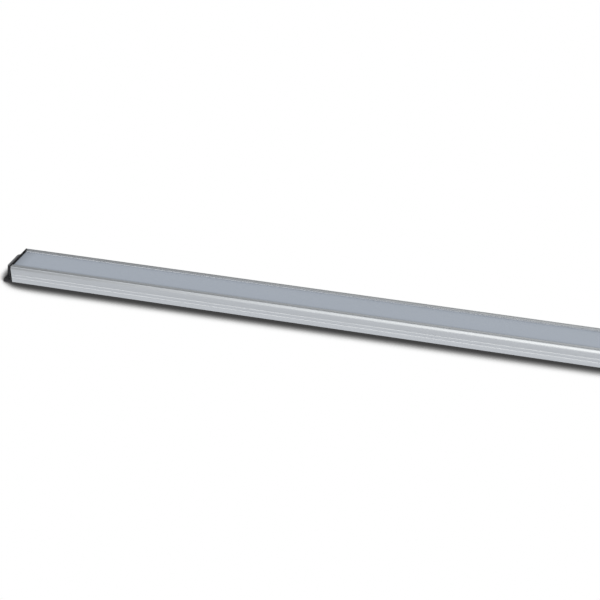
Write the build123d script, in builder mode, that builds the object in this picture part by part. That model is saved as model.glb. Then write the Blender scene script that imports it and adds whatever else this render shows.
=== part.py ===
from build123d import *
import os

# Slim outdoor wall washer light, in millimetres.
# It lies on its back: X runs along the light, Z points out of its light-giving front,
# and the origin is the middle of its back face.

# ---- driving dimensions ----
profile_length = 980.6
housing_width = 40.0
housing_height = 17.0

wall = 1.5
floor_thickness = 2.0
foot_chamfer = 0.4
bevel_width = 1.0
bevel_height = 3.0
bevel_bulge = 0.15
lip_width = 4.0
lip_thickness = 1.0
lip_groove_width = 0.45
lip_groove_depth = 0.8
lip_groove_centre = 17.9
side_groove_depth = 0.4
side_groove_heights = (8.7, 5.3)
back_groove_width = 2.0
back_groove_depth = 0.6
back_groove_centres = (8.5, 12.0, 15.5)

# ---- diffuser and the slot that holds it ----
diffuser_width = 33.6
diffuser_thickness = 1.55
diffuser_play = 0.05
diffuser_end_play = 0.2
diffuser_edge_chamfer = 0.2
slot_width = 34.0
ledge_inner_width = 28.0
ledge_bottom = 12.0
seal_centre = 15.6
seal_width = 1.1
seal_height = 0.65
seal_corner_radius = 0.2

# ---- end caps, gaskets and their screws ----
gasket_thickness = 1.0
gasket_inset = 0.15
gasket_window_width = 18.0
gasket_window_bottom = 2.8
gasket_window_top = 12.4
flange_thickness = 1.0
nose_foot_reach = 9.5
nose_foot_width = 28.4
nose_height = 13.3
nose_draft = 6.5
nose_corner_radius = 3.0
nose_edge_radius = 0.5
cap_pocket_depth = 4.0
cap_pocket_width = 18.0
foot_reach = 9.7
foot_thickness = 2.0
foot_corner_radius = 1.7
foot_hole_radius = 1.8
foot_hole_reach = 6.9
foot_hole_spacing = 31.6
foot_head_radius = 3.0

port_centre = 15.2
port_height = 8.0
port_outer_radius = 2.9
port_core_radius = 1.3
port_slot_width = 1.4
port_web_height = 2.6
screw_pad_radius = 3.6
screw_length = 12.0
screw_core_radius = 1.28
screw_shank_radius = 1.45
screw_head_radius = 2.5
screw_seat_reach = 3.2
screw_hole_radius = 1.6
screw_sink_play = 0.1
screw_drive_width = 0.7
screw_drive_length = 3.0
screw_drive_depth = 0.9

# ---- circuit boards and what they carry ----
pad_thickness = 0.3
board_width = 26.4
board_thickness = 1.6
board_length = 476.0
board_gap = 1.0
rail_inner = 13.4
rail_thickness = 1.0
rail_lip_reach = 1.0
rail_lip_height = 0.8
rail_play = 0.1
leds_per_board = 18
led_pitch = 26.4
led_size = 3.5
led_thickness = 0.8
led_dome_radius = 1.35
chip_chamfer = 0.15
regulator_count = 3
regulator_size = (4.5, 2.5, 1.5)
regulator_y = 8.0
resistor_size = (3.2, 1.6, 0.6)
resistor_y = -7.0
capacitor_size = (3.2, 2.5, 2.0)
capacitor_y = -8.5
capacitor_x = 452.0
capacitor_step = 6.0
surge_size = (4.6, 3.6, 2.3)
surge_centre = (459.5, 8.0)
diode_size = (4.3, 2.6, 2.2)
diode_centre = (450.0, 8.0)
terminal_size = (9.0, 10.0, 5.0)
terminal_chamfer = 0.4
terminal_back_wall = 1.5
terminal_x = 470.5
terminal_way_pitch = 5.0
terminal_way_width = 3.2
terminal_way_height = 2.6
terminal_way_rise = 1.2
leaf_thickness = 0.4
leaf_width = 2.6
leaf_setback = 2.5
leaf_length = 5.5
leaf_bend_rise = 1.6
leaf_tip_reach = 4.0
leaf_tip_rise = 1.0
link_spacing = 10.0
link_wire_radius = 0.4
link_half_span = 2.5
link_rise = 1.6

# ---- cable gland at the right end ----
gland_height = 7.6
gland_seat_reach = 9.8
gland_boss_radius = 5.6
gland_across_flats = 11.0
gland_hex_thickness = 2.3
gland_hex_chamfer = 0.3
gland_thread_radius = 3.6
gland_hole_radius = 3.7
gland_neck_radius = 4.5
gland_bore_radius = 2.8
gland_neck_end = 16.1
gland_inner_end = 2.0
gland_seal_radius = 3.7
gland_seal_bore_radius = 2.5
gland_seal_length = 3.4
gland_nut_start = 12.7
gland_nut_hex_end = 15.9
gland_nut_end = 19.0
gland_nut_nose_radius = 4.0
locknut_across_flats = 9.4
locknut_thickness = 2.4
o_ring_centre_radius = 4.3
o_ring_wire_radius = 0.5
o_ring_recess_radius = 4.9

# ---- heights and places that follow from them ----
half_width = housing_width / 2
half_length = profile_length / 2
lip_bottom = housing_height - lip_thickness
lip_inner = half_width - bevel_width - lip_width
bevel_length = (bevel_width ** 2 + bevel_height ** 2) ** 0.5
diffuser_bottom = lip_bottom - diffuser_play - diffuser_thickness
board_bottom = floor_thickness + pad_thickness
board_top = board_bottom + board_thickness
rail_lip_bottom = board_top + rail_play
rail_top = rail_lip_bottom + rail_lip_height
board_centre_x = (board_length + board_gap) / 2
led_run = led_pitch * (leds_per_board - 1)
ends = {"left": -1, "right": 1}


def end_plane(side, reach):
    """Plane square to the light, a given distance past the extrusion's end, facing outwards."""
    return Plane(
        origin=(side * (half_length + reach), 0, 0),
        x_dir=(0, side, 0),
        z_dir=(side, 0, 0),
    )


def plan_plane(side, height):
    """Level plane at one end; its X runs outwards from the extrusion's end."""
    return Plane(
        origin=(side * half_length, 0, height),
        x_dir=(side, 0, 0),
        z_dir=(0, 0, 1),
    )


def section_face(margin=0.0):
    """Outside outline of the extrusion, drawn in by a margin, without its grooves."""
    side = half_width - margin
    top = housing_height - margin
    bulge_out = bevel_bulge * bevel_height / bevel_length
    bulge_up = bevel_bulge * bevel_width / bevel_length
    with BuildSketch() as outline:
        with BuildLine():
            foot = Polyline(
                (0, margin),
                (side - foot_chamfer, margin),
                (side, margin + foot_chamfer),
                (side, top - bevel_height),
            )
            rounded = ThreePointArc(
                foot @ 1,
                (side - bevel_width / 2 + bulge_out, top - bevel_height / 2 + bulge_up),
                (side - bevel_width, top),
            )
            Line(rounded @ 1, (0, top))
            mirror(about=Plane.YZ)
        make_face()
    return outline.sketch


def board_part_centres(side, count, pitch):
    """X places of a row of parts, centred on one board."""
    first = side * board_centre_x - pitch * (count - 1) / 2
    return [first + pitch * index for index in range(count)]


# ---- housing: one aluminium extrusion ----
with BuildPart() as housing:
    with BuildSketch(end_plane(-1, 0)):
        add(section_face())
        # light chamber, its mouth between the ledges, the diffuser's slot and the gap between the lips
        chamber_width = housing_width - 2 * wall
        chamber_height = ledge_bottom - floor_thickness
        with Locations((0, floor_thickness)):
            Rectangle(chamber_width, chamber_height, align=(Align.CENTER, Align.MIN), mode=Mode.SUBTRACT)
        with Locations((0, ledge_bottom)):
            Rectangle(
                ledge_inner_width,
                housing_height - ledge_bottom,
                align=(Align.CENTER, Align.MIN),
                mode=Mode.SUBTRACT,
            )
        with Locations((0, diffuser_bottom)):
            Rectangle(
                slot_width,
                lip_bottom - diffuser_bottom,
                align=(Align.CENTER, Align.MIN),
                mode=Mode.SUBTRACT,
            )
        with Locations((0, lip_bottom)):
            Rectangle(
                2 * lip_inner,
                lip_thickness,
                align=(Align.CENTER, Align.MIN),
                mode=Mode.SUBTRACT,
            )
        # grooves for the seals, on the lips, along the side walls and in the back
        with Locations((-seal_centre, diffuser_bottom), (seal_centre, diffuser_bottom)):
            Rectangle(seal_width, seal_height, align=(Align.CENTER, Align.MAX), mode=Mode.SUBTRACT)
        with Locations((-lip_groove_centre, housing_height), (lip_groove_centre, housing_height)):
            Rectangle(
                lip_groove_width,
                lip_groove_depth,
                align=(Align.CENTER, Align.MAX),
                mode=Mode.SUBTRACT,
            )
        for height in side_groove_heights:
            with Locations((-half_width, height), (half_width, height)):
                RegularPolygon(side_groove_depth, 4, mode=Mode.SUBTRACT)
        for centre in back_groove_centres:
            with Locations((-centre, 0), (centre, 0)):
                Rectangle(
                    back_groove_width,
                    back_groove_depth,
                    align=(Align.CENTER, Align.MIN),
                    mode=Mode.SUBTRACT,
                )
        # screw ports on the side walls, slotted along their length
        web_reach = half_width - wall - port_centre
        with Locations((port_centre, port_height)):
            Rectangle(web_reach, port_web_height, align=(Align.MIN, Align.CENTER))
        with Locations((-port_centre, port_height)):
            Rectangle(web_reach, port_web_height, align=(Align.MAX, Align.CENTER))
        with Locations((-port_centre, port_height), (port_centre, port_height)):
            Circle(port_outer_radius)
        with Locations((-port_centre, port_height), (port_centre, port_height)):
            Circle(port_core_radius, mode=Mode.SUBTRACT)
        slot_reach = port_outer_radius + port_slot_width
        with Locations((-port_centre, port_height)):
            Rectangle(
                slot_reach,
                port_slot_width,
                align=(Align.MIN, Align.CENTER),
                mode=Mode.SUBTRACT,
            )
        with Locations((port_centre, port_height)):
            Rectangle(
                slot_reach,
                port_slot_width,
                align=(Align.MAX, Align.CENTER),
                mode=Mode.SUBTRACT,
            )
        # hooked rails that hold the boards down
        rail_post_centre = rail_inner + rail_thickness / 2
        with Locations((-rail_post_centre, floor_thickness), (rail_post_centre, floor_thickness)):
            Rectangle(rail_thickness, rail_top - floor_thickness, align=(Align.CENTER, Align.MIN))
        lip_centre = rail_inner - rail_lip_reach / 2
        with Locations((-lip_centre, rail_lip_bottom), (lip_centre, rail_lip_bottom)):
            Rectangle(rail_lip_reach, rail_lip_height, align=(Align.CENTER, Align.MIN))
    extrude(amount=-profile_length)
housing.part.label = "housing"

# ---- diffuser: flat frosted sheet, slid in under the lips ----
diffuser_length = profile_length - 2 * diffuser_end_play
with BuildPart() as diffuser:
    with Locations((0, 0, diffuser_bottom)):
        Box(
            diffuser_length,
            diffuser_width,
            diffuser_thickness,
            align=(Align.CENTER, Align.CENTER, Align.MIN),
        )
    chamfer(diffuser.edges().filter_by(Axis.X).group_by(Axis.Z)[-1], length=diffuser_edge_chamfer)
diffuser.part.label = "diffuser"


# ---- seals under the diffuser's long edges ----
def make_diffuser_seal(centre_y):
    with BuildPart() as seal:
        with BuildSketch(end_plane(1, 0)):
            with Locations((centre_y, diffuser_bottom)):
                Rectangle(seal_width, seal_height, align=(Align.CENTER, Align.MAX))
            fillet(vertices(), radius=seal_corner_radius)
        extrude(amount=-profile_length)
    return seal.part


diffuser_seal_front = make_diffuser_seal(-seal_centre)
diffuser_seal_front.label = "diffuser_seal_front"
diffuser_seal_rear = make_diffuser_seal(seal_centre)
diffuser_seal_rear.label = "diffuser_seal_rear"


# ---- end gaskets: soft sheet cut to the extrusion's outline ----
def make_end_gasket(side):
    with BuildPart() as gasket:
        with BuildSketch(end_plane(side, 0)):
            add(section_face(gasket_inset))
            with Locations((0, gasket_window_bottom)):
                Rectangle(
                    gasket_window_width,
                    gasket_window_top - gasket_window_bottom,
                    align=(Align.CENTER, Align.MIN),
                    mode=Mode.SUBTRACT,
                )
            with Locations((-port_centre, port_height), (port_centre, port_height)):
                Circle(screw_hole_radius, mode=Mode.SUBTRACT)
        extrude(amount=gasket_thickness)
    return gasket.part


# ---- end caps: flange, flat-topped nose and foot tab in one moulding ----
left = ends["left"]
with BuildPart() as left_cap:
    # nose, narrowing upwards; its plan starts inside the extrusion and is cut off at the gasket
    with BuildSketch(plan_plane(left, 0)):
        with Locations((-gasket_thickness, 0)):
            Rectangle(
                nose_foot_reach + gasket_thickness,
                nose_foot_width,
                align=(Align.MIN, Align.CENTER),
            )
    extrude(amount=nose_height, taper=nose_draft)
    split(bisect_by=end_plane(left, gasket_thickness), keep=Keep.TOP)
    fillet(left_cap.faces().sort_by(Axis.X)[0].edges().filter_by(Axis.Y, reverse=True), radius=nose_corner_radius)
    fillet(left_cap.edges().group_by(Axis.Z)[-1].group_by(Axis.X)[:-1], radius=nose_edge_radius)
    # flange with the extrusion's outline, and a round pad under each cap screw
    with BuildSketch(end_plane(left, gasket_thickness)):
        add(section_face())
    extrude(amount=flange_thickness)
    with BuildSketch(end_plane(left, gasket_thickness)):
        with Locations((-port_centre, port_height), (port_centre, port_height)):
            Circle(screw_pad_radius)
    extrude(amount=screw_seat_reach - gasket_thickness)
    # foot tab
    with BuildSketch(plan_plane(left, 0)):
        with Locations((gasket_thickness, 0)):
            Rectangle(
                foot_reach - gasket_thickness,
                housing_width,
                align=(Align.MIN, Align.CENTER),
            )
        fillet(vertices().group_by(Axis.X)[0], radius=foot_corner_radius)
    extrude(amount=foot_thickness)
    # foot holes, with room over them for the screws' heads
    with Locations(plan_plane(left, foot_thickness)):
        with Locations((foot_hole_reach, 0)):
            with GridLocations(0, foot_hole_spacing, 1, 2):
                Hole(foot_hole_radius)
    with BuildSketch(plan_plane(left, foot_thickness)):
        with Locations((foot_hole_reach, 0)):
            with GridLocations(0, foot_hole_spacing, 1, 2):
                Circle(foot_head_radius)
    extrude(amount=nose_height, mode=Mode.SUBTRACT)
    # pocket behind the nose
    with BuildSketch(end_plane(left, gasket_thickness)):
        with Locations((0, gasket_window_bottom)):
            Rectangle(
                cap_pocket_width,
                gasket_window_top - gasket_window_bottom,
                align=(Align.CENTER, Align.MIN),
            )
    extrude(amount=cap_pocket_depth, mode=Mode.SUBTRACT)
    # countersinks for the cap screws, with room over them where the nose comes close
    with BuildSketch(end_plane(left, screw_seat_reach)):
        with Locations((-port_centre, port_height), (port_centre, port_height)):
            Circle(screw_head_radius + screw_sink_play)
    extrude(amount=nose_foot_reach, mode=Mode.SUBTRACT)
    with Locations(end_plane(left, screw_seat_reach)):
        with Locations((-port_centre, port_height), (port_centre, port_height)):
            CounterSinkHole(
                screw_hole_radius,
                screw_head_radius + screw_sink_play,
                depth=screw_seat_reach,
                counter_sink_angle=90,
            )
left_cap.part.label = "end_cap_left"

# the right cap mirrors the left one; the cable gland screws down on its flat round boss
with BuildPart() as right_cap:
    add(left_cap.part.mirror(Plane.YZ))
    with BuildSketch(end_plane(1, gasket_thickness + cap_pocket_depth)):
        with Locations((0, gland_height)):
            Circle(gland_boss_radius)
        with Locations((0, foot_thickness)):
            Rectangle(gland_boss_radius, gland_height - foot_thickness, align=(Align.CENTER, Align.MIN))
    extrude(amount=gland_seat_reach - gasket_thickness - cap_pocket_depth)
    with BuildSketch(end_plane(1, gland_seat_reach)):
        with Locations((0, gland_height)):
            Circle(o_ring_recess_radius)
    extrude(amount=-2 * o_ring_wire_radius, mode=Mode.SUBTRACT)
    with Locations(end_plane(1, gland_seat_reach)):
        with Locations((0, gland_height)):
            Hole(gland_hole_radius, depth=gland_seat_reach)
right_cap.part.label = "end_cap_right"


# ---- countersunk self-tapping screws ----
def make_cap_screws(side):
    cone = screw_head_radius - screw_shank_radius
    with BuildPart() as screws:
        with BuildSketch(Plane.XY):
            with BuildLine():
                Polyline(
                    (half_length - screw_length + screw_seat_reach, 0),
                    (half_length - screw_length + screw_seat_reach, screw_core_radius),
                    (half_length, screw_core_radius),
                    (half_length, screw_shank_radius),
                    (half_length + screw_seat_reach - cone, screw_shank_radius),
                    (half_length + screw_seat_reach, screw_head_radius),
                    (half_length + screw_seat_reach, 0),
                    close=True,
                )
            make_face()
        revolve(axis=Axis.X)
        with BuildSketch(end_plane(1, screw_seat_reach)):
            Rectangle(screw_drive_width, screw_drive_length)
            Rectangle(screw_drive_length, screw_drive_width)
        extrude(amount=-screw_drive_depth, mode=Mode.SUBTRACT)
    master = screws.part if side > 0 else screws.part.mirror(Plane.YZ)
    with BuildPart() as pair:
        with Locations((0, -port_centre, port_height), (0, port_centre, port_height)):
            add(master)
    return pair.part


# ---- boards, pads, LEDs ----
def make_plate(side, bottom, width, thickness):
    with BuildPart() as plate:
        with Locations((side * board_centre_x, 0, bottom)):
            Box(board_length, width, thickness, align=(Align.CENTER, Align.CENTER, Align.MIN))
    return plate.part


def make_led_packages(side):
    with BuildPart() as packages:
        for x in board_part_centres(side, leds_per_board, led_pitch):
            with Locations((x, 0, board_top)):
                Box(led_size, led_size, led_thickness, align=(Align.CENTER, Align.CENTER, Align.MIN))
    return packages.part


def make_led_domes(side):
    with BuildPart() as domes:
        for x in board_part_centres(side, leds_per_board, led_pitch):
            with Locations((x, 0, board_top + led_thickness)):
                Sphere(led_dome_radius, arc_size1=0, align=(Align.CENTER, Align.CENTER, Align.MIN))
    return domes.part


def make_chips(places, size):
    """Surface-mount bodies of one size, standing on the boards."""
    with BuildPart() as chips:
        for x, y in places:
            with Locations((x, y, board_top)):
                Box(*size, align=(Align.CENTER, Align.CENTER, Align.MIN))
        chamfer(chips.faces().filter_by(Axis.Z).group_by(Axis.Z)[-1].edges(), length=chip_chamfer)
    return chips.part


regulator_pitch = led_run / regulator_count
regulator_places = []
resistor_places = []
for side in ends.values():
    for x in board_part_centres(side, regulator_count, regulator_pitch):
        regulator_places.append((x, regulator_y))
        resistor_places.append((x, resistor_y))

current_regulators = make_chips(regulator_places, regulator_size)
current_regulators.label = "current_regulators"
sense_resistors = make_chips(resistor_places, resistor_size)
sense_resistors.label = "sense_resistors"
capacitor_places = [(capacitor_x, capacitor_y), (capacitor_x + capacitor_step, capacitor_y)]
input_capacitors = make_chips(capacitor_places, capacitor_size)
input_capacitors.label = "input_capacitors"
surge_suppressor = make_chips([surge_centre], surge_size)
surge_suppressor.label = "surge_suppressor"
polarity_diode = make_chips([diode_centre], diode_size)
polarity_diode.label = "polarity_diode"

# two-way spring terminal for the supply wires, its mouths facing the right end
terminal_length = terminal_size[0]
way_bottom = board_top + terminal_way_rise
with BuildPart() as terminal_block:
    with Locations((terminal_x, 0, board_top)):
        Box(*terminal_size, align=(Align.CENTER, Align.CENTER, Align.MIN))
    chamfer(terminal_block.faces().sort_by(Axis.Z)[-1].edges(), length=terminal_chamfer)
    with Locations((terminal_x + terminal_length / 2, 0, way_bottom)):
        with GridLocations(0, terminal_way_pitch, 1, 2):
            Box(
                terminal_length - terminal_back_wall,
                terminal_way_width,
                terminal_way_height,
                align=(Align.MAX, Align.CENTER, Align.MIN),
                mode=Mode.SUBTRACT,
            )
terminal_block.part.label = "terminal_block"

# a bent spring leaf in each way
leaf_start = terminal_x - leaf_setback
with BuildPart() as terminal_contacts:
    for way_y in (-terminal_way_pitch / 2, terminal_way_pitch / 2):
        with BuildSketch(Plane.XZ.offset(-way_y + leaf_width / 2)):
            with BuildLine():
                Polyline(
                    (leaf_start, way_bottom),
                    (leaf_start + leaf_length, way_bottom),
                    (leaf_start + leaf_length, way_bottom + leaf_thickness),
                    (leaf_start + leaf_thickness, way_bottom + leaf_thickness),
                    (leaf_start + leaf_thickness, way_bottom + leaf_bend_rise),
                    (leaf_start + leaf_tip_reach, way_bottom + leaf_tip_rise),
                    (leaf_start + leaf_tip_reach, way_bottom + leaf_tip_rise + leaf_thickness),
                    (leaf_start, way_bottom + leaf_bend_rise + leaf_thickness),
                    close=True,
                )
            make_face()
        extrude(amount=-leaf_width)
terminal_contacts.part.label = "terminal_contacts"

# wire links soldered across the gap between the boards
with BuildPart() as board_links:
    for link_y in (-link_spacing / 2, link_spacing / 2):
        with BuildLine(Plane.XZ.offset(-link_y)):
            link_path = FilletPolyline(
                (-link_half_span, board_top),
                (-link_half_span, board_top + link_rise),
                (link_half_span, board_top + link_rise),
                (link_half_span, board_top),
                radius=2 * link_wire_radius,
            )
        with BuildSketch(Plane(origin=(-link_half_span, link_y, board_top), z_dir=(0, 0, 1))):
            Circle(link_wire_radius)
        sweep(path=link_path)
board_links.part.label = "board_links"

# ---- cable gland ----
with BuildPart() as gland_body:
    with BuildSketch(end_plane(1, gland_seat_reach)):
        with Locations((0, gland_height)):
            RegularPolygon(gland_across_flats / 2, 6, major_radius=False)
    extrude(amount=gland_hex_thickness)
    hex_end = gland_body.faces().sort_by(Axis.X)[-1]
    chamfer(hex_end.edges(), length=gland_hex_chamfer)
    with BuildSketch(end_plane(1, gland_seat_reach)):
        with Locations((0, gland_height)):
            Circle(gland_neck_radius)
    extrude(amount=gland_neck_end - gland_seat_reach)
    with BuildSketch(end_plane(1, gland_inner_end)):
        with Locations((0, gland_height)):
            Circle(gland_thread_radius)
    extrude(amount=gland_seat_reach - gland_inner_end)
    seal_seat = gland_neck_end - gland_seal_length
    with Locations(end_plane(1, gland_neck_end)):
        with Locations((0, gland_height)):
            CounterBoreHole(gland_bore_radius, gland_seal_radius, gland_seal_length)
gland_body.part.label = "gland_body"

with BuildPart() as gland_seal:
    with BuildSketch(end_plane(1, seal_seat)):
        with Locations((0, gland_height)):
            Circle(gland_seal_radius)
            Circle(gland_seal_bore_radius, mode=Mode.SUBTRACT)
    extrude(amount=gland_seal_length)
gland_seal.part.label = "gland_seal"

with BuildPart() as gland_nut:
    with BuildSketch(end_plane(1, gland_nut_start)):
        with Locations((0, gland_height)):
            RegularPolygon(gland_across_flats / 2, 6, major_radius=False)
    extrude(amount=gland_nut_hex_end - gland_nut_start)
    with BuildSketch(end_plane(1, gland_nut_hex_end)):
        with Locations((0, gland_height)):
            Circle(gland_across_flats / 2)
    with BuildSketch(end_plane(1, gland_nut_end)):
        with Locations((0, gland_height)):
            Circle(gland_nut_nose_radius)
    loft()
    with BuildSketch(end_plane(1, gland_nut_start)):
        with Locations((0, gland_height)):
            Circle(gland_neck_radius)
    extrude(amount=gland_neck_end - gland_nut_start, mode=Mode.SUBTRACT)
    with Locations(end_plane(1, gland_nut_end)):
        with Locations((0, gland_height)):
            Hole(gland_bore_radius, depth=gland_nut_end - gland_neck_end)
gland_nut.part.label = "gland_nut"

with BuildPart() as gland_o_ring:
    with BuildSketch(Plane(origin=(half_length + gland_seat_reach - o_ring_wire_radius, 0, gland_height))):
        with Locations((0, o_ring_centre_radius)):
            Circle(o_ring_wire_radius)
    gland_axis = Axis((0, 0, gland_height), (1, 0, 0))
    revolve(axis=gland_axis)
gland_o_ring.part.label = "gland_o_ring"

locknut_seat = gasket_thickness + cap_pocket_depth
with BuildPart() as gland_locknut:
    with BuildSketch(end_plane(1, locknut_seat)):
        with Locations((0, gland_height)):
            RegularPolygon(locknut_across_flats / 2, 6, major_radius=False)
            Circle(gland_thread_radius, mode=Mode.SUBTRACT)
    extrude(amount=-locknut_thickness)
gland_locknut.part.label = "gland_locknut"

# ---- write every piece ----
pieces = [
    housing.part,
    diffuser.part,
    diffuser_seal_front,
    diffuser_seal_rear,
    left_cap.part,
    right_cap.part,
    current_regulators,
    sense_resistors,
    input_capacitors,
    surge_suppressor,
    polarity_diode,
    terminal_block.part,
    terminal_contacts.part,
    board_links.part,
    gland_body.part,
    gland_seal.part,
    gland_nut.part,
    gland_o_ring.part,
    gland_locknut.part,
]
for name, side in ends.items():
    paired = {
        "end_gasket": make_end_gasket(side),
        "end_cap_screws": make_cap_screws(side),
        "led_board": make_plate(side, board_bottom, board_width, board_thickness),
        "thermal_pad": make_plate(side, floor_thickness, board_width, pad_thickness),
        "led_packages": make_led_packages(side),
        "led_domes": make_led_domes(side),
    }
    for kind, piece in paired.items():
        piece.label = f"{kind}_{name}"
        pieces.append(piece)

os.makedirs("parts", exist_ok=True)
for piece in pieces:
    export_step(piece, f"parts/{piece.label}.step")
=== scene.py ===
import math

import bmesh
import bpy
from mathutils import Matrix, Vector


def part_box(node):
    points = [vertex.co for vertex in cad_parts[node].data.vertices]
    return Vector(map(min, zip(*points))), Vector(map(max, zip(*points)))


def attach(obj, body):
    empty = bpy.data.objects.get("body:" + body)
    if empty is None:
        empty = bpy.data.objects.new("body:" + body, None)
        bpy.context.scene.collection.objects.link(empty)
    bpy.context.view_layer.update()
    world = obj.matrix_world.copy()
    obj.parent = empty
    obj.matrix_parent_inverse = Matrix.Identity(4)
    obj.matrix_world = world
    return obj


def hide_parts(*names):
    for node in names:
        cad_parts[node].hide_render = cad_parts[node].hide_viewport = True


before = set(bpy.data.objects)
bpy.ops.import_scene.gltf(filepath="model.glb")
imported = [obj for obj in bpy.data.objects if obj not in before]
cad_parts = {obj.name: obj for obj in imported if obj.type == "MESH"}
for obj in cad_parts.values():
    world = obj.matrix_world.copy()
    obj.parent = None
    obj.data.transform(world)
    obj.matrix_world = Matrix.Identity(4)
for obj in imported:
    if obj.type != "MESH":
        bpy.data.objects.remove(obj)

bl_info = {
    "name": "Outdoor wall washer light",
    "version": (1, 0, 0),
    "blender": (4, 5, 0),
    "location": "3D View > Sidebar > Wall washer",
    "description": "Dresses the frame of a slim outdoor wall washer light",
    "category": "Object",
}

MM = 0.001
# two places closer than this count as one
NEAR = 0.01 * MM
# corners closer than this are merged
WELD = 0.004 * MM
# the step that keeps two solids from sharing a plane
HAIR = 0.02 * MM
# an edge that spans more than this runs along the whole light
LONG_EDGE = 100 * MM
# edges sharper than this are softened, and ones flatter than the next are shaded smooth
SHARP = math.radians(20)
SMOOTH = math.radians(30)
# facets round a hole, round a screw's pad, round the gland's boss and round its nut
HOLE_STEPS, PAD_STEPS, BOSS_STEPS, NUT_STEPS = 40, 48, 64, 72
ENDS = {"left": -1, "right": 1}
FINISHES = {}

HOUSING_LOW, HOUSING_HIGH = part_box("housing")
DIFFUSER_LOW, DIFFUSER_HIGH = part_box("diffuser")
GASKET_LOW, GASKET_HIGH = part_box("end_gasket_right")
CAP_LOW, CAP_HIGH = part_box("end_cap_left")
BODY_LOW, BODY_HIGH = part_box("gland_body")
NUT_LOW, NUT_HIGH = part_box("gland_nut")
SEAL_LOW, SEAL_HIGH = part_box("diffuser_seal_rear")
BOARD_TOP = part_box("led_board_right")[1].z

# distances of the grooves in the back from its middle
BACK_GROOVES = (8.5 * MM, 12.0 * MM, 15.5 * MM)
# for the cap screws: a hole's radius, a countersink's depth, the gap round a head and the free way to it
SCREW_HOLE = 1.6 * MM
SCREW_SINK = 1.0 * MM
SCREW_PLAY = 0.1 * MM
SCREW_WAY = 6 * MM
# the gap round the gland's thread
THREAD_PLAY = 0.1 * MM
# how far a turned shape stands out past a hexagon's corners, and how deep its cone cuts into a face
CORNER_SPARE = 0.2 * MM
CONE_DEPTH = 0.25 * MM
# how far a step stands inside or outside of its neighbour, so that no two faces share a plane
INSET = 0.1 * MM

# how pale the floor is at each share of open sky over it
SHADOW_DARKEST = 0.04
SHADOW_STEPS = (
    (0.66, 0.056),
    (0.69, 0.085),
    (0.72, 0.133),
    (0.757, 0.216),
    (0.789, 0.362),
    (0.814, 0.55),
    (0.837, 0.75),
    (0.862, 0.95),
)
SHADOW_END = 0.885
SHADOW_SAMPLES = 48
# between these places along X the shadow narrows by this share
SHADOW_SPAN = (-0.45, 0.08)
SHADOW_NARROWING = 0.09

# each screen's lower left and upper right corner, and its colour at places along X
SCREENS = {
    "rear_screen": ((-3.4, 1.2, 0.02), (2.0, 1.2, 2.4), (
        (-1.8, (0.30, 0.30, 0.295)),
        (-0.55, (0.66, 0.66, 0.64)),
        (0.7, (1.02, 1.01, 0.96)),
        (1.4, (1.0, 1.0, 1.0)),
    )),
    "low_front_screen": ((-3.0, -1.4, -0.15), (2.4, -1.4, 0.6), (
        (-1.5, (0.1, 0.1, 0.1)),
        (-0.95, (0.74, 0.74, 0.72)),
        (-0.5, (1.92, 1.91, 1.83)),
        (0.2, (2.55, 2.5, 2.34)),
    )),
    "high_front_screen": ((-3.6, -1.4, 1.5), (2.4, -1.4, 2.9), (
        (-1.75, (3.3, 3.2, 3.05)),
        (-0.9, (2.5, 2.42, 2.3)),
        (-0.1, (1.7, 1.65, 1.58)),
        (0.6, (1.7, 1.65, 1.58)),
    )),
}

KEY_PLACE = (-0.4, -0.1, 1.6)
KEY_AIM = (-0.4, 0.0, 0.0)
KEY_SIZE = (2.0, 0.6)
CAMERA_PLACE = (0.07632, -0.99397, 0.62751)
# in degrees about X, Y and Z
CAMERA_TURN = (59.26, 0.06, 15.58)
CAMERA_SENSOR = 36
CAMERA_CLIP = (0.01, 100)


# ---- what a user would change ----

def length(name, description, default):
    return bpy.props.FloatProperty(
        name=name, description=description, default=default, min=0.0, unit="LENGTH"
    )


def count(name, description, default):
    return bpy.props.IntProperty(name=name, description=description, default=default, min=2, max=64)


def colour(name, description, default):
    return bpy.props.FloatVectorProperty(
        name=name, description=description, default=default, min=0.0, max=1.0, size=4, subtype="COLOR"
    )


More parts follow.
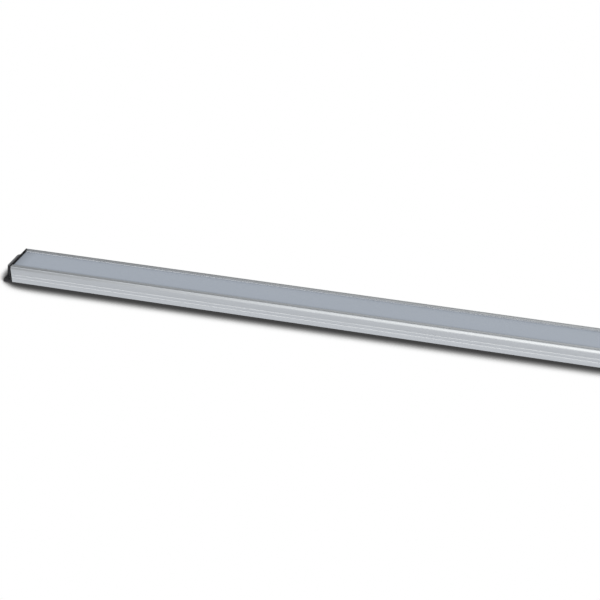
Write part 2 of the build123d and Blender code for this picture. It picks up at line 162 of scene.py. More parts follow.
class WasherHousingSizes(bpy.types.PropertyGroup):
    """Section of the aluminium extrusion"""

    wall: length("Wall", "Thickness of the side walls", 1.5 * MM)
    floor: length("Floor", "Thickness of the back", 2.0 * MM)
    foot_chamfer: length("Foot chamfer", "Chamfer along the back's long edges", 0.4 * MM)
    bevel_width: length("Bevel width", "Width of the slope along the front's long edges", 1.0 * MM)
    bevel_height: length("Bevel height", "Height of the slope along the front's long edges", 3.0 * MM)
    bevel_bulge: length("Bevel bulge", "How far the slope stands out from flat", 0.15 * MM)
    bevel_steps: count("Bevel steps", "Facets across the slope", 6)
    lip_width: length("Lip width", "Width of the flat top of each lip", 4.0 * MM)
    lip_thickness: length("Lip thickness", "Thickness of each lip over the diffuser", 1.0 * MM)
    lip_foot: length("Lip foot", "Width of the slope at the foot of each lip's inner edge", 0.2 * MM)
    lip_groove_width: length("Lip groove width", "Width of the fine groove on each lip", 0.45 * MM)
    lip_groove_depth: length("Lip groove depth", "Depth of the fine groove on each lip", 0.8 * MM)
    lip_groove_centre: length("Lip groove place", "Distance of the lip groove from the middle", 17.9 * MM)
    side_groove_depth: length("Side groove depth", "Depth of the grooves along the side walls", 0.4 * MM)
    side_groove_high: length("Upper side groove", "Height of the upper side groove", 8.7 * MM)
    side_groove_low: length("Lower side groove", "Height of the lower side groove", 5.3 * MM)
    back_groove_width: length("Back groove width", "Width of the grooves in the back", 2.0 * MM)
    back_groove_depth: length("Back groove depth", "Depth of the grooves in the back", 0.6 * MM)
    slot_width: length("Slot width", "Width of the slot that holds the diffuser", 34.0 * MM)
    ledge_inner_width: length("Ledge gap", "Width between the ledges under the diffuser", 28.0 * MM)
    ledge_bottom: length("Ledge height", "Height of the ledges' undersides", 12.0 * MM)
    port_centre: length("Port place", "Distance of the screw ports from the middle", 15.2 * MM)
    port_height: length("Port height", "Height of the screw ports", 8.0 * MM)
    port_outer: length("Port radius", "Outer radius of the screw ports", 2.9 * MM)
    port_core: length("Port bore", "Radius of the bore in each screw port", 1.3 * MM)
    port_slot: length("Port slot", "Width of the slot along each screw port", 1.4 * MM)
    port_web: length("Port web", "Height of the web that joins a port to its wall", 2.6 * MM)
    port_steps: count("Port steps", "Facets round each half of a port's outside", 14)
    bore_steps: count("Port bore steps", "Facets round each port's bore", 22)
    rail_inner: length("Rail place", "Distance of the board rails from the middle", 13.4 * MM)
    rail_thickness: length("Rail thickness", "Thickness of the board rails", 1.0 * MM)
    rail_lip_reach: length("Rail hook", "How far each rail's hook reaches over the board", 1.0 * MM)
    rail_lip_height: length("Rail hook height", "Thickness of each rail's hook", 0.8 * MM)
    rail_play: length("Rail play", "Gap between the board and the hook", 0.1 * MM)
    edge_radius: length("Edge radius", "Softening of the outer long edges", 0.1 * MM)
    sheet_chamfer: length("Sheet chamfer", "Chamfer along the diffuser's upper edges", 0.2 * MM)
    sheet_radius: length("Sheet radius", "Softening of the diffuser's long edges", 0.08 * MM)


class WasherCapSizes(bpy.types.PropertyGroup):
    """Moulded end caps, their gaskets and their screws"""

    flange: length("Flange", "Thickness of the cap's flange", 1.0 * MM)
    nose_reach: length("Nose reach", "Distance of the nose's foot from the extrusion's end", 9.5 * MM)
    nose_width: length("Nose width", "Width of the nose at its foot", 28.4 * MM)
    nose_height: length("Nose height", "Height of the nose", 13.3 * MM)
    nose_draft: bpy.props.FloatProperty(
        name="Nose draft", description="Lean of the nose's walls", default=math.radians(6.5), subtype="ANGLE"
    )
    nose_corner: length("Nose corner", "Rounding of the nose's upright corners", 3.0 * MM)
    nose_edge: length("Nose edge", "Rounding of the nose's top edge", 0.5 * MM)
    foot_thickness: length("Foot thickness", "Thickness of the foot tab", 2.0 * MM)
    foot_corner: length("Foot corner", "Rounding of the foot tab's corners", 1.7 * MM)
    hole_radius: length("Foot hole", "Radius of the screw holes in the foot tab", 1.8 * MM)
    hole_reach: length("Foot hole reach", "Distance of the foot holes from the extrusion's end", 6.9 * MM)
    hole_spacing: length("Foot hole spacing", "Distance between a tab's two holes", 31.6 * MM)
    head_room: length("Head room", "Radius of the room for a screw's head over a foot hole", 3.0 * MM)
    screw_pad: length("Screw pad", "Radius of the pad under each cap screw", 3.6 * MM)
    screw_seat: length("Screw seat", "Distance of the screw heads from the extrusion's end", 3.2 * MM)
    screw_head: length("Screw head", "Radius of the screw heads", 2.5 * MM)
    pocket_width: length("Pocket width", "Width of the pocket behind the nose", 18.0 * MM)
    pocket_depth: length("Pocket depth", "Depth of the pocket behind the nose", 4.0 * MM)
    window_bottom: length("Window bottom", "Height of the window's lower edge", 2.8 * MM)
    window_top: length("Window top", "Height of the window's upper edge", 12.4 * MM)
    gasket_window: length("Gasket window", "Width of the gasket's window", 18.0 * MM)
    gasket_edge: length("Gasket edge", "Rounding of the gasket's edges", 0.2 * MM)
    edge_radius: length("Edge radius", "Rounding of the cap's small edges", 0.12 * MM)


class WasherGlandSizes(bpy.types.PropertyGroup):
    """Cable gland at the right end"""

    height: length("Height", "Height of the gland's axis over the back face", 7.6 * MM)
    seat: length("Seat", "Distance of the gland's seat from the extrusion's end", 9.8 * MM)
    boss_radius: length("Boss radius", "Radius of the cap's boss under the gland", 5.6 * MM)
    recess_radius: length("Ring recess", "Radius of the recess for the sealing ring", 4.9 * MM)
    recess_depth: length("Ring recess depth", "Depth of the recess for the sealing ring", 1.0 * MM)
    flats: length("Flats", "Distance across the flats of both hexagons", 11.0 * MM)
    hex_thickness: length("Hexagon", "Thickness of the body's hexagon", 2.3 * MM)
    neck_radius: length("Neck radius", "Radius of the threaded neck", 4.5 * MM)
    bore_radius: length("Bore", "Radius of the cable's way through", 2.8 * MM)
    seal_radius: length("Seal radius", "Outer radius of the clamping seal", 3.7 * MM)
    seal_length: length("Seal length", "Length of the clamping seal", 3.4 * MM)
    thread_radius: length("Thread radius", "Radius of the thread through the cap", 3.6 * MM)
    nut_hex: length("Nut hexagon", "Length of the nut's hexagon", 3.2 * MM)
    nut_nose: length("Nut nose", "Radius of the nut's nose at its mouth", 4.0 * MM)
    nose_curve: length("Nose curve", "Radius of the curve along the nut's nose", 2.6 * MM)
    nose_drop: length("Nose drop", "Depth of that curve's centre below the mouth's edge", 1.1 * MM)
    nose_round: length("Nose round", "How far the mouth's edge is rounded off", 0.6 * MM)
    end_slope: length("End slope", "Slope at the nut's two ends", 0.3 * MM)
    corner_slope: length("Corner slope", "Length of the slope on the hexagons' outer corners", 0.55 * MM)
    shoulder_slope: length("Shoulder slope", "Length of the slope on the nut's inner corners", 0.45 * MM)
    thread_slope: length("Thread slope", "Slope at the start of the thread", 0.2 * MM)
    neck_pitch: length("Neck pitch", "Pitch of the fine thread on the neck", 0.5 * MM)
    neck_cut: length("Neck cut", "Depth of the fine thread on the neck", 0.12 * MM)
    body_edge: length("Body edge", "Slope on the body's edges", 0.04 * MM)
    nut_edge: length("Nut edge", "Rounding of the nut's edges", 0.05 * MM)


class WasherFinishes(bpy.types.PropertyGroup):
    """Colours of the light's materials"""

    aluminium: colour("Aluminium", "Satin anodised extrusion", (0.458, 0.480, 0.511, 1.0))
    diffuser: colour("Diffuser", "Frosted sheet, unlit", (0.335, 0.375, 0.435, 1.0))
    cap: colour("End caps", "Charcoal moulding", (0.014, 0.015, 0.017, 1.0))
    # painted light: this paler colour on each nose's level top stands in for the light that falls on it
    cap_top_painted_light: colour("Caps' tops", "Coarser texture on the level top of each nose", (0.125, 0.128, 0.135, 1.0))
    gasket: colour("Gaskets", "Black silicone rubber", (0.010, 0.010, 0.011, 1.0))
    steel: colour("Screws", "Plain stainless steel", (0.45, 0.45, 0.44, 1.0))
    nickel: colour("Gland", "Satin nickel plate", (0.47, 0.45, 0.41, 1.0))
    board: colour("Boards", "White solder mask", (0.72, 0.74, 0.70, 1.0))
    phosphor: colour("LED domes", "Yellow phosphor silicone", (0.83, 0.52, 0.06, 1.0))
    ceramic: colour("LED bodies", "White ceramic", (0.75, 0.73, 0.66, 1.0))
    pad: colour("Thermal pads", "Grey filled silicone", (0.21, 0.24, 0.27, 1.0))
    seal: colour("Diffuser seals", "Grey silicone", (0.26, 0.27, 0.28, 1.0))
    chip: colour("Chips", "Black moulding compound", (0.012, 0.012, 0.013, 1.0))
    capacitor: colour("Capacitors", "Tan ceramic", (0.17, 0.09, 0.04, 1.0))
    terminal: colour("Terminal block", "White nylon", (0.71, 0.71, 0.66, 1.0))
    contact: colour("Terminal contacts", "Tinned brass", (0.57, 0.47, 0.23, 1.0))
    wire: colour("Board links", "Tinned copper wire", (0.51, 0.48, 0.42, 1.0))


class WasherStageSettings(bpy.types.PropertyGroup):
    """Floor, lamp and camera"""

    floor_size: length("Floor size", "Side of the pale floor", 12.0)
    floor_gap: length("Floor gap", "Drop from the light's back to the floor", 0.1 * MM)
    shadow_reach: length("Shadow reach", "How far the soft contact shadow spreads", 0.045)
    lens: bpy.props.FloatProperty(
        name="Lens", description="Focal length of the camera, in millimetres", default=76.60, min=10.0
    )
    light: bpy.props.FloatProperty(
        name="Light", description="Strength of the soft light", default=0.95, min=0.0
    )
    key_power: bpy.props.FloatProperty(
        name="Key lamp", description="Power of the large lamp overhead, in watts", default=1.6, min=0.0
    )


# ---- modelling steps that several pieces share ----

def clear_selection():
    if bpy.context.object and bpy.context.object.mode != "OBJECT":
        bpy.ops.object.mode_set(mode="OBJECT")
    bpy.ops.object.select_all(action="DESELECT")


def only(piece):
    clear_selection()
    piece.select_set(True)
    bpy.context.view_layer.objects.active = piece


def settle(piece):
    """Leaves the piece's object at the origin, with its place in its mesh."""
    only(piece)
    bpy.ops.object.transform_apply(location=True, rotation=True, scale=True)
    return piece


def trace(name, corners):
    """A flat closed outline, drawn by extruding one point from corner to corner."""
    corners = [Vector(corner) for corner in corners]
    clear_selection()
    bpy.ops.mesh.primitive_plane_add(size=MM, location=corners[0])
    piece = bpy.context.object
    piece.name = name
    bpy.ops.object.mode_set(mode="EDIT")
    bpy.ops.mesh.select_mode(type="VERT")
    bpy.ops.mesh.merge(type="CENTER")
    for here, there in zip(corners, corners[1:] + corners[:1]):
        bpy.ops.mesh.extrude_vertices_move(TRANSFORM_OT_translate={"value": there - here})
    bpy.ops.mesh.select_all(action="SELECT")
    bpy.ops.mesh.remove_doubles(threshold=WELD)
    bpy.ops.mesh.edge_face_add()
    bpy.ops.object.mode_set(mode="OBJECT")
    return settle(piece)


def pull(piece, way):
    """Pulls a traced outline into a solid."""
    only(piece)
    bpy.ops.object.mode_set(mode="EDIT")
    bpy.ops.mesh.select_all(action="SELECT")
    bpy.ops.mesh.extrude_region_move(TRANSFORM_OT_translate={"value": way})
    bpy.ops.mesh.select_all(action="SELECT")
    bpy.ops.mesh.normals_make_consistent(inside=False)
    bpy.ops.object.mode_set(mode="OBJECT")
    return piece


def turn(piece, centre, steps=PAD_STEPS):
    """Spins a traced half section into a round piece about a line along X."""
    only(piece)
    bpy.ops.object.mode_set(mode="EDIT")
    bpy.ops.mesh.select_all(action="SELECT")
    bpy.ops.mesh.delete(type="ONLY_FACE")
    bpy.ops.mesh.select_all(action="SELECT")
    bpy.ops.mesh.spin(steps=steps, angle=2 * math.pi, center=centre, axis=(1, 0, 0))
    bpy.ops.mesh.select_all(action="SELECT")
    bpy.ops.mesh.remove_doubles(threshold=WELD)
    bpy.ops.mesh.normals_make_consistent(inside=False)
    bpy.ops.object.mode_set(mode="OBJECT")
    return piece


def soften(piece, width, test, segments=2):
    """Rounds the edges that the test picks, given an edge's two ends and its two faces' normals."""
    only(piece)
    bpy.ops.object.mode_set(mode="EDIT")
    bpy.ops.mesh.select_mode(type="EDGE")
    bpy.ops.mesh.select_all(action="DESELECT")
    shape = bmesh.from_edit_mesh(piece.data)
    for edge in shape.edges:
        if len(edge.link_faces) == 2:
            start, end = (corner.co for corner in edge.verts)
            if test(start, end, *(face.normal for face in edge.link_faces)):
                edge.select_set(True)
    shape.select_flush_mode()
    bmesh.update_edit_mesh(piece.data)
    bpy.ops.mesh.bevel(offset=width, segments=segments, affect="EDGES")
    bpy.ops.object.mode_set(mode="OBJECT")
    return piece


def combine(piece, other, how):
    """Joins, cuts or keeps the overlap of two solids, and removes the second."""
    only(piece)
    joint = piece.modifiers.new("combine", "BOOLEAN")
    joint.operation = how
    joint.solver = "EXACT"
    joint.object = other
    bpy.ops.object.modifier_apply(modifier=joint.name)
    bpy.data.objects.remove(other)
    return piece


def round_edges(piece, width, segments=2, angle=35):
    """Rounds every sharp edge of a finished solid."""
    only(piece)
    edge = piece.modifiers.new("edge", "BEVEL")
    edge.width = width
    edge.segments = segments
    edge.limit_method = "ANGLE"
    edge.angle_limit = math.radians(angle)
    bpy.ops.object.modifier_apply(modifier=edge.name)
    return piece


def put_on(piece, slot, node):
    """Gives a finished piece its material and its place in the frame."""
    only(piece)
    bpy.ops.object.shade_smooth_by_angle(angle=SMOOTH)
    piece.data.materials.clear()
    piece.data.materials.append(finish_for(slot))
    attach(piece, "root")
    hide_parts(node)
    return piece


def arc(centre, radius, start, end, steps):
    """Points on a flat arc, from one angle to another in degrees."""
    points = []
    for index in range(steps + 1):
        angle = math.radians(start + (end - start) * index / steps)
        points.append((centre[0] + radius * math.cos(angle), centre[1] + radius * math.sin(angle)))
    return points


def round_bar(name, start, end, centre, radius, steps=HOLE_STEPS, upright=False):
    """A plain round solid along X, or along Z when upright, for cutting and joining."""
    middle = (start + end) / 2
    clear_selection()
    bpy.ops.mesh.primitive_cylinder_add(
        vertices=steps,
        radius=radius,
        depth=abs(end - start),
        location=(*centre, middle) if upright else (middle, *centre),
        rotation=(0, 0 if upright else math.pi / 2, 0),
    )
    piece = bpy.context.object
    piece.name = name
    return settle(piece)


def plain_block(name, corner, opposite):
    """A plain box between two corners, for cutting and joining."""
    corner, opposite = Vector(corner), Vector(opposite)
    clear_selection()
    bpy.ops.mesh.primitive_cube_add(size=1, location=(corner + opposite) / 2)
    piece = bpy.context.object
    piece.name = name
    piece.scale = [abs(size) for size in opposite - corner]
    return settle(piece)


# ---- finishes ----

class Nodes:
    """Adds nodes to the tree of one material or world, and joins them."""

    def __init__(self, owner):
        owner.use_nodes = True
        self.tree = owner.node_tree

    def add(self, kind, **settings):
        node = self.tree.nodes.new(kind)
        for key, value in settings.items():
            setattr(node, key, value)
        return node

    def join(self, source, output, target, name):
        self.tree.links.new(source.outputs[output], target.inputs[name])
        return target

    def reckon(self, operation, *sources):
        """Two values taken together by one operation, each given as a node and its output."""
        result = self.add("ShaderNodeMath", operation=operation)
        for index, (source, output) in enumerate(sources):
            self.join(source, output, result, index)
        return result

    def axes(self):
        """Object coordinates, split into X, Y and Z."""
        where = self.add("ShaderNodeTexCoord")
        return self.join(where, "Object", self.add("ShaderNodeSeparateXYZ"), "Vector")

    def spread(self, source, output, low, high, from_low=0.0, from_high=1.0):
        """A value carried from one range to another."""
        remap = self.add("ShaderNodeMapRange")
        remap.inputs["From Min"].default_value = from_low
        remap.inputs["From Max"].default_value = from_high
        remap.inputs["To Min"].default_value = low
        remap.inputs["To Max"].default_value = high
        return self.join(source, output, remap, "Value")


class Finish(Nodes):
    """The material of one slot, around its main shader."""

    def __init__(self, name):
        self.material = bpy.data.materials.new(name)
        super().__init__(self.material)
        self.shader = self.tree.nodes["Principled BSDF"]

    def set(self, name, value):
        self.shader.inputs[name].default_value = value

    def noise(self, scale, stretch=(1, 1, 1), detail=3.0):
        """Noise in object coordinates, which may be stretched first."""
        where = self.add("ShaderNodeTexCoord")
        mapping = self.join(where, "Object", self.add("ShaderNodeMapping"), "Vector")
        mapping.inputs["Scale"].default_value = stretch
        texture = self.join(mapping, "Vector", self.add("ShaderNodeTexNoise"), "Vector")
        texture.inputs["Scale"].default_value = scale
        texture.inputs["Detail"].default_value = detail
        return texture

    def tint(self, base, factor):
        """The base colour, made lighter and darker by a value near 1."""
        mix = self.add("ShaderNodeVectorMath", operation="SCALE")
        mix.inputs[0].default_value = base[:3]
        self.join(factor, 0, mix, "Scale")
        self.join(mix, 0, self.shader, "Base Color")

    def bump(self, source, output, distance, strength):
        relief = self.add("ShaderNodeBump")
        relief.inputs["Distance"].default_value = distance
        relief.inputs["Strength"].default_value = strength
        self.join(source, output, relief, "Height")
        self.join(relief, "Normal", self.shader, "Normal")


def satin_anodised(base):
    """Satin anodised extrusion: die lines along its length under a fine etched grain."""
    finish = Finish("satin_anodised")
    finish.set("Metallic", 1.0)
    lines = finish.noise(1.0, (5, 1500, 1500), detail=2.0)
    tone = finish.spread(lines, "Fac", 0.95, 1.05)
    # painted light: the wall is painted a little paler toward its foot, where it shows brighter in the studio
    # light
    painted_light_fade = finish.spread(finish.axes(), "Z", 1.07, 0.98, 3 * MM, 11 * MM)
    finish.tint(base, finish.reckon("MULTIPLY", (tone, "Result"), (painted_light_fade, "Result")))
    rough = finish.spread(lines, "Fac", 0.30, 0.40)
    finish.join(rough, "Result", finish.shader, "Roughness")
    grain = finish.noise(9000.0, detail=1.0)
    relief = finish.reckon("ADD", (lines, "Fac"), (grain, "Fac"))
    finish.bump(relief, "Value", 0.004 * MM, 0.5)
    return finish.material


def frosted_sheet(base):
    """Frosted sheet with painted shade: a little darker over the ledges and the caps, where less light comes
    through it.
    """
    finish = Finish("frosted_sheet")
    finish.set("Roughness", 0.42)
    finish.set("IOR", 1.49)
    axes = finish.axes()
    total, output = finish.spread(finish.noise(6.0, (1, 4, 4)), "Fac", 0.97, 1.03), "Result"
    section = bpy.context.scene.washer_housing
    ledge = HOUSING_HIGH.y - section.bevel_width - section.lip_width
    # where each painted shade starts, how far it reaches inwards, and its tone at the start
    for axis, edge, reach, tone in (
        ("Y", -ledge, 5 * MM, 0.74),
        ("Y", ledge, 5 * MM, 0.92),
        ("X", HOUSING_LOW.x, 14 * MM, 0.80),
        ("X", HOUSING_HIGH.x, 14 * MM, 0.80),
    ):
        inward = -math.copysign(reach, edge)
        painted_light_fade = finish.spread(axes, axis, tone, 1.0, edge, edge + inward)
        painted_light_fade.interpolation_type = "SMOOTHSTEP"
        total, output = finish.reckon("MULTIPLY", (total, output), (painted_light_fade, "Result")), "Value"
    finish.tint(base, total)
    finish.bump(finish.noise(4200.0, detail=2.0), "Fac", 0.01 * MM, 0.5)
    return finish.material


def grained(name, base, roughness, metallic=0.0, scale=900.0, tone=0.06, relief=0.02, gloss=0.5):
    """A plain finish with its own grain: slight changes of tone and gloss, and a fine relief."""
    finish = Finish(name)
    finish.set("Metallic", metallic)
    finish.set("Specular IOR Level", gloss)
    grain = finish.noise(scale)
    finish.tint(base, finish.spread(grain, "Fac", 1 - tone, 1 + tone))
    rough = finish.spread(grain, "Fac", roughness * 0.85, min(1.0, roughness * 1.15))
    finish.join(rough, "Result", finish.shader, "Roughness")
    finish.bump(grain, "Fac", relief * MM, 0.6)
    return finish.material


def charcoal_moulding(base, top):
    """Fine-textured charcoal moulding, with painted light that makes it paler on the level top of the nose.
    """
    finish = Finish("charcoal_moulding")
    finish.set("Specular IOR Level", 0.25)
    # painted light: the level top of the nose, where it faces up, takes the paler colour
    level = finish.add("ShaderNodeMath", operation="COMPARE")
    finish.join(finish.axes(), "Z", level, 0)
    level.inputs[1].default_value = bpy.context.scene.washer_caps.nose_height
    level.inputs[2].default_value = 0.1 * MM
    facing = finish.add("ShaderNodeNewGeometry")
    ways = finish.join(facing, "Normal", finish.add("ShaderNodeSeparateXYZ"), "Vector")
    upward = finish.spread(ways, "Z", 0.0, 1.0, 0.9, 0.98)
    painted_light_on_top = finish.reckon("MULTIPLY", (level, "Value"), (upward, "Result"))
    # inputs 6 and 7 are the two colours, and output 2 is their mix
    mixed = finish.join(painted_light_on_top, "Value", finish.add("ShaderNodeMix", data_type="RGBA"), 0)
    mixed.inputs[6].default_value = base
    mixed.inputs[7].default_value = top
    coarse = finish.noise(1500.0, detail=1.0)
    speck = finish.spread(coarse, "Fac", 0.8, 1.2, 0.3, 0.7)
    shade = finish.join(mixed, 2, finish.add("ShaderNodeVectorMath", operation="SCALE"), 0)
    finish.join(speck, "Result", shade, "Scale")
    finish.join(shade, "Vector", finish.shader, "Base Color")
    grain = finish.noise(2600.0)
    finish.join(finish.spread(grain, "Fac", 0.45, 0.65), "Result", finish.shader, "Roughness")
    finish.bump(grain, "Fac", 0.03 * MM, 0.6)
    return finish.material


def finish_for(slot):
    """The material of one of the record's slots, made the first time it is asked for."""
    if slot in FINISHES:
        return FINISHES[slot]
    colours = bpy.context.scene.washer_finishes
    # a name, a colour, a roughness, and what else differs from a plain grain
    recipes = {
        "gasket_rubber": ("black_rubber", colours.gasket, 0.8, dict(scale=1500.0, relief=0.04, gloss=0.2)),
        "screw_steel": ("plain_steel", colours.steel, 0.32, dict(metallic=1.0, scale=1400.0, relief=0.006)),
        "nickel_plate": ("satin_nickel", colours.nickel, 0.27, dict(metallic=1.0, scale=800.0, relief=0.004)),
        "board_white": ("white_mask", colours.board, 0.38, dict(scale=260.0, tone=0.04)),
        "thermal_pad": ("grey_pad", colours.pad, 0.8, dict(scale=1200.0)),
        "silicone_seal": ("grey_silicone", colours.seal, 0.7, dict(scale=700.0)),
        "led_ceramic": ("white_ceramic", colours.ceramic, 0.45, dict(scale=1800.0)),
        "led_phosphor": ("yellow_phosphor", colours.phosphor, 0.25, dict(scale=2200.0, tone=0.1)),
        "chip_black": ("black_epoxy", colours.chip, 0.6, dict(scale=3000.0)),
        "capacitor_ceramic": ("tan_ceramic", colours.capacitor, 0.5, dict(scale=2000.0)),
        "terminal_plastic": ("white_nylon", colours.terminal, 0.35, {}),
        "contact_brass": ("tinned_brass", colours.contact, 0.3, dict(metallic=1.0, scale=1600.0)),
        "link_wire": ("tinned_wire", colours.wire, 0.28, dict(metallic=1.0, scale=1600.0)),
    }
    if slot == "anodised_aluminium":
        FINISHES[slot] = satin_anodised(colours.aluminium)
    elif slot == "frosted_diffuser":
        FINISHES[slot] = frosted_sheet(colours.diffuser)
    elif slot == "cap_plastic":
        FINISHES[slot] = charcoal_moulding(colours.cap, colours.cap_top_painted_light)
    else:
        name, base, roughness, others = recipes[slot]
        FINISHES[slot] = grained(name, base, roughness, **others)
    return FINISHES[slot]


# ---- pieces ----

def front_slope(sizes, margin=0.0):
    """The gently bulging slope along a front edge, from the side wall up to the lip."""
    low = Vector((HOUSING_HIGH.y - margin, HOUSING_HIGH.z - sizes.bevel_height))
    high = Vector((HOUSING_HIGH.y - sizes.bevel_width, HOUSING_HIGH.z - margin))
    chord = high - low
    rise = sizes.bevel_bulge
    radius = (chord.length ** 2 / 4 + rise ** 2) / (2 * rise)
    outward = Vector((chord.y, -chord.x)).normalized()
    centre = (low + high) / 2 - outward * (radius - rise)
    middle = math.degrees(math.atan2(outward.y, outward.x))
    reach = math.degrees(math.asin(chord.length / 2 / radius))
    return arc(centre, radius, middle - reach, middle + reach, sizes.bevel_steps)


def housing_half_section(sizes):
    """Right half of the extrusion's outline, from the middle of its back round to the chamber's floor."""
    side = HOUSING_HIGH.y
    top = HOUSING_HIGH.z
    points = [(0, 0)]
    for centre in BACK_GROOVES:
        half = sizes.back_groove_width / 2
        deep = sizes.back_groove_depth
        points += [(centre - half, 0), (centre - half, deep), (centre + half, deep), (centre + half, 0)]
    points += [(side - sizes.foot_chamfer, 0), (side, sizes.foot_chamfer)]
    deep = sizes.side_groove_depth
    for height in (sizes.side_groove_low, sizes.side_groove_high):
        points += [(side, height - deep), (side - deep, height), (side, height + deep)]
    points += front_slope(sizes)
    near = sizes.lip_groove_centre - sizes.lip_groove_width / 2
    far = sizes.lip_groove_centre + sizes.lip_groove_width / 2
    groove_floor = top - sizes.lip_groove_depth
    points += [(far, top), (far, groove_floor), (near, groove_floor), (near, top)]
    lip_inner = side - sizes.bevel_width - sizes.lip_width
    lip_bottom = top - sizes.lip_thickness
    points += [(lip_inner, top), (lip_inner, lip_bottom + sizes.lip_foot)]
    points += [(lip_inner - sizes.lip_foot, lip_bottom), (sizes.slot_width / 2, lip_bottom)]
    rest = DIFFUSER_LOW.z
    points += [(sizes.slot_width / 2, rest), (SEAL_HIGH.y, rest), (SEAL_HIGH.y, SEAL_LOW.z)]
    points += [(SEAL_LOW.y, SEAL_LOW.z), (SEAL_LOW.y, rest), (sizes.ledge_inner_width / 2, rest)]
    inner = side - sizes.wall
    points += [(sizes.ledge_inner_width / 2, sizes.ledge_bottom), (inner, sizes.ledge_bottom)]
    # the screw port on its web
    centre = (sizes.port_centre, sizes.port_height)
    web = sizes.port_web / 2
    lean = math.degrees(math.asin(web / sizes.port_outer))
    mouth = math.degrees(math.asin(sizes.port_slot / 2 / sizes.port_outer))
    throat = math.degrees(math.asin(sizes.port_slot / 2 / sizes.port_core))
    points += [(inner, centre[1] + web)]
    points += arc(centre, sizes.port_outer, lean, 180 - mouth, sizes.port_steps)
    points += arc(centre, sizes.port_core, 180 - throat, throat - 180, sizes.bore_steps)
    points += arc(centre, sizes.port_outer, 180 + mouth, 360 - lean, sizes.port_steps)
    points += [(inner, centre[1] - web), (inner, sizes.floor)]
    # the hooked rail over the board's edge
    rail = sizes.rail_inner
    back = rail + sizes.rail_thickness
    tip = rail - sizes.rail_lip_reach
    low = BOARD_TOP + sizes.rail_play
    high = low + sizes.rail_lip_height
    points += [(back, sizes.floor), (back, high), (tip, high), (tip, low), (rail, low)]
    points += [(rail, sizes.floor), (0, sizes.floor)]
    return points


def make_housing():
    sizes = bpy.context.scene.washer_housing
    half = housing_half_section(sizes)
    # the two points on the middle line belong to both halves
    outline = half + [(-y, z) for y, z in reversed(half) if y > 0]
    piece = trace("housing_extrusion", [(HOUSING_LOW.x, y, z) for y, z in outline])
    pull(piece, (HOUSING_HIGH.x - HOUSING_LOW.x, 0, 0))
    side, top = HOUSING_HIGH.y, HOUSING_HIGH.z

    def outer_long_edge(start, end, one, other):
        along = abs(start.x - end.x) > LONG_EDGE
        skin = abs(start.y) > side - NEAR or start.z > top - NEAR
        return along and skin and one.angle(other) > SHARP

    soften(piece, sizes.edge_radius, outer_long_edge)
    return put_on(piece, "anodised_aluminium", "housing")


def make_diffuser():
    sizes = bpy.context.scene.washer_housing
    low, high = DIFFUSER_LOW, DIFFUSER_HIGH
    edge = sizes.sheet_chamfer
    half = [(high.y, low.z), (high.y, high.z - edge), (high.y - edge, high.z)]
    outline = half + [(-y, z) for y, z in reversed(half)]
    piece = trace("diffuser_sheet", [(low.x, y, z) for y, z in outline])
    pull(piece, (high.x - low.x, 0, 0))

    def sharp_long_edge(start, end, one, other):
        return abs(start.x - end.x) > LONG_EDGE and one.angle(other) > SHARP

    soften(piece, sizes.sheet_radius, sharp_long_edge)
    return put_on(piece, "frosted_diffuser", "diffuser")


def plain_section(sizes, margin=0.0):
    """Outside outline of the extrusion without its grooves, drawn in by a margin."""
    side = HOUSING_HIGH.y - margin
    right = [(side - sizes.foot_chamfer, margin), (side, margin + sizes.foot_chamfer)]
    right += front_slope(sizes, margin)
    return right + [(-y, z) for y, z in reversed(right)]


def make_gasket(end):
    side = ENDS[end]
    caps, section = bpy.context.scene.washer_caps, bpy.context.scene.washer_housing
    inner = side * GASKET_LOW.x
    reach = side * (GASKET_HIGH.x - GASKET_LOW.x)
    start, finish = inner - reach, inner + 2 * reach
    outline = plain_section(section, GASKET_LOW.z)
    piece = trace(f"end_gasket_{end}_ring", [(inner, y, z) for y, z in outline])
    pull(piece, (reach, 0, 0))
    half = caps.gasket_window / 2
    window = plain_block("window", (start, -half, caps.window_bottom), (finish, half, caps.window_top))
    combine(piece, window, "DIFFERENCE")
    for y in (-section.port_centre, section.port_centre):
        hole = round_bar("hole", start, finish, (y, section.port_height), SCREW_HOLE)
        combine(piece, hole, "DIFFERENCE")
    round_edges(piece, caps.gasket_edge, segments=3)
    return put_on(piece, "gasket_rubber", f"end_gasket_{end}")


def make_nose(name, side):
    """The cap's nose: a block that narrows upwards, with rounded upright corners and top edge."""
    caps = bpy.context.scene.washer_caps
    ground = side * HOUSING_HIGH.x
    lean = math.tan(caps.nose_draft)
    half, top = caps.nose_width / 2, caps.nose_height
    plan = ((0, -half), (caps.nose_reach, -half), (caps.nose_reach, half), (0, half))
    piece = trace(name, [(ground + side * u, y, 0) for u, y in plan])
    pull(piece, (0, 0, top))
    narrow = 1 - top * lean / caps.nose_reach
    only(piece)
    bpy.ops.object.mode_set(mode="EDIT")
    bpy.ops.mesh.select_mode(type="VERT")
    bpy.ops.mesh.select_all(action="DESELECT")
    shape = bmesh.from_edit_mesh(piece.data)
    for corner in shape.verts:
        corner.select_set(corner.co.z > top / 2)
    shape.select_flush_mode()
    bmesh.update_edit_mesh(piece.data)
    bpy.ops.transform.resize(value=(narrow, 1 - top * lean / half, 1), center_override=(ground, 0, top))
    bpy.ops.object.mode_set(mode="OBJECT")

    def reach_of(start, end):
        return abs(start.x + end.x) / 2 - abs(ground)

    def upright_edge(start, end, one, other):
        return abs(start.z - end.z) > top / 2 and reach_of(start, end) > caps.nose_reach * narrow / 2

    def crown_edge(start, end, one, other):
        return min(start.z, end.z) > top - NEAR and reach_of(start, end) > NEAR

    soften(piece, caps.nose_corner, upright_edge, segments=10)
    return soften(piece, caps.nose_edge, crown_edge, segments=5)


